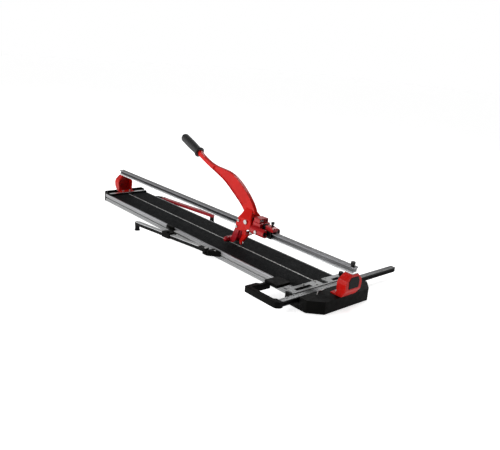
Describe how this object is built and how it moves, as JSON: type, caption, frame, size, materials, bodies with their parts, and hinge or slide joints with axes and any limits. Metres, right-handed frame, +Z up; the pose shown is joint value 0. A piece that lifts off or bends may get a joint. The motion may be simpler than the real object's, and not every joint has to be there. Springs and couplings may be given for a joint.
{
  "type": "manual tile cutter",
  "caption": "Long manual tile cutter: padded aluminium table, overhead guide rail, lever carriage with scoring wheel and breaking foot, sliding side stop and swing-out arms.",
  "frame": {"origin": "on the floor under the middle of the breaking ridge, at the centre of the middle rubber pad", "axes": "+X along the guide rail towards the fence, +Y across the table to the far side, +Z up"},
  "size_m": [1.4272, 0.571, 0.3886],
  "materials": {
    "black_casting": "satin black, lightly textured moulding",
    "red_paint": "glossy red powder coat",
    "brushed_aluminium": "drawn, satin anodised",
    "mat_rubber": "fine-ribbed rubber",
    "zinc_steel": "bright zinc plated",
    "black_knob": "moulded, semi-gloss",
    "grip_rubber": "ribbed soft rubber",
    "dark_plate": "dark satin plate",
    "black_anodised": "black anodised",
    "carbide": "ground carbide"
  },
  "bodies": {
    "frame": {"near_table_profile": "brushed_aluminium", "far_table_profile": "brushed_aluminium", "near_mat": "mat_rubber", "far_mat": "mat_rubber", "breaking_ridge": "zinc_steel", "left_end_cap": "black_casting", "end_cap_strip": "brushed_aluminium", "foot_casting": "black_casting", "fence_plate": "brushed_aluminium", "bar_clip": "zinc_steel", "frame_screws": "zinc_steel", "rubber_pads": "mat_rubber", "left_tower": "red_paint", "right_tower": "red_paint", "tower_end_plate": "dark_plate", "guide_rail": "brushed_aluminium", "rail_bolts": "zinc_steel", "rail_buffer": "black_knob", "bar_guides": "black_knob", "near_arm_bracket": "black_casting", "far_arm_bracket": "black_casting", "arm_pivot_bolts": "zinc_steel"},
    "fence_knob": {"fence_lock_knob": "black_knob"},
    "carriage": {"carriage_body": "red_paint", "roller_axles": "zinc_steel", "near_bearing_housing": "red_paint", "far_bearing_housing": "red_paint", "housing_plugs": "black_knob", "housing_bolts": "zinc_steel", "carriage_cover": "red_paint", "cover_screws": "zinc_steel", "rail_wiper": "black_knob", "carriage_lock_block": "red_paint", "depth_stop_screw": "zinc_steel"},
    "rear_near_roller_body": {"rear_near_roller": "zinc_steel"},
    "rear_far_roller_body": {"rear_far_roller": "zinc_steel"},
    "front_near_roller_body": {"front_near_roller": "zinc_steel"},
    "front_far_roller_body": {"front_far_roller": "zinc_steel"},
    "lock_screw": {"lock_thumbscrew": "black_knob"},
    "lever": {"lever_arm": "red_paint", "lever_grip": "grip_rubber", "lever_pivot_bolt": "zinc_steel", "lever_pivot_nut": "zinc_steel", "breaking_foot": "red_paint", "foot_screws": "zinc_steel", "toe_pads": "mat_rubber", "wheel_holder": "red_paint", "wheel_axle": "zinc_steel"},
    "wheel": {"scoring_wheel": "carbide"},
    "side_stop": {"measuring_bar": "black_anodised", "bar_scale_strip": "brushed_aluminium", "bar_end_cap": "black_knob", "side_stop_frame": "black_casting"},
    "near_arm": {"near_support_arm": "black_anodised", "near_arm_strip": "brushed_aluminium", "near_arm_foot": "mat_rubber", "near_arm_stay": "black_casting"},
    "stay_knob_body": {"stay_knob": "black_knob"},
    "far_arm": {"far_support_arm": "red_paint", "far_arm_foot": "mat_rubber"}
  },
  "joints": [
    {"name": "carriage_slide", "type": "slide", "parent": "frame", "child": "carriage", "axis": [1, 0, 0], "range_m": [-0.78, 0.32]},
    {"name": "lever_hinge", "type": "hinge", "parent": "carriage", "child": "lever", "pos_m": [0.285, 0, 0.149], "axis": [0, 1, 0], "range_deg": [-4.5, 20]},
    {"name": "wheel_spin", "type": "hinge", "parent": "lever", "child": "wheel", "pos_m": [0.236, 0, 0.051], "axis": [0, 1, 0], "continuous": true},
    {"name": "fence_knob_turn", "type": "hinge", "parent": "frame", "child": "fence_knob", "pos_m": [0.628, 0.098, 0.04], "axis": [0, 0, 1], "range_deg": [0, 720]},
    {"name": "lock_screw_turn", "type": "hinge", "parent": "carriage", "child": "lock_screw", "pos_m": [0.39, 0, 0.157], "axis": [0, 0, 1], "range_deg": [0, 720]},
    {"name": "side_stop_slide", "type": "slide", "parent": "frame", "child": "side_stop", "axis": [0, 1, 0], "range_m": [-0.2, 0.03]},
    {"name": "near_arm_swing", "type": "hinge", "parent": "frame", "child": "near_arm", "pos_m": [0.184, -0.121, 0.022], "axis": [0, 0, 1], "range_deg": [0, 81]},
    {"name": "far_arm_swing", "type": "hinge", "parent": "frame", "child": "far_arm", "pos_m": [-0.478, 0.118, 0.022], "axis": [0, 0, 1], "range_deg": [-6, 83]},
    {"name": "stay_knob_turn", "type": "hinge", "parent": "near_arm", "child": "stay_knob_body", "pos_m": [-0.01745, -0.15317, 0.035], "axis": [0, 0, 1], "range_deg": [0, 720]},
    {"name": "rear_near_roller_spin", "type": "hinge", "parent": "carriage", "child": "rear_near_roller_body", "pos_m": [0.272, -0.0143, 0.1265], "axis": [0, 0, 1], "continuous": true},
    {"name": "rear_far_roller_spin", "type": "hinge", "parent": "carriage", "child": "rear_far_roller_body", "pos_m": [0.272, 0.0143, 0.1265], "axis": [0, 0, 1], "continuous": true},
    {"name": "front_near_roller_spin", "type": "hinge", "parent": "carriage", "child": "front_near_roller_body", "pos_m": [0.336, -0.0143, 0.1265], "axis": [0, 0, 1], "continuous": true},
    {"name": "front_far_roller_spin", "type": "hinge", "parent": "carriage", "child": "front_far_roller_body", "pos_m": [0.336, 0.0143, 0.1265], "axis": [0, 0, 1], "continuous": true}
  ],
  "couplings": [
    {"joint": "rear_near_roller_spin", "follows": "carriage_slide", "rad_per_m": -117.65},
    {"joint": "rear_far_roller_spin", "follows": "carriage_slide", "rad_per_m": 117.65},
    {"joint": "front_near_roller_spin", "follows": "carriage_slide", "rad_per_m": -117.65},
    {"joint": "front_far_roller_spin", "follows": "carriage_slide", "rad_per_m": 117.65}
  ]
}
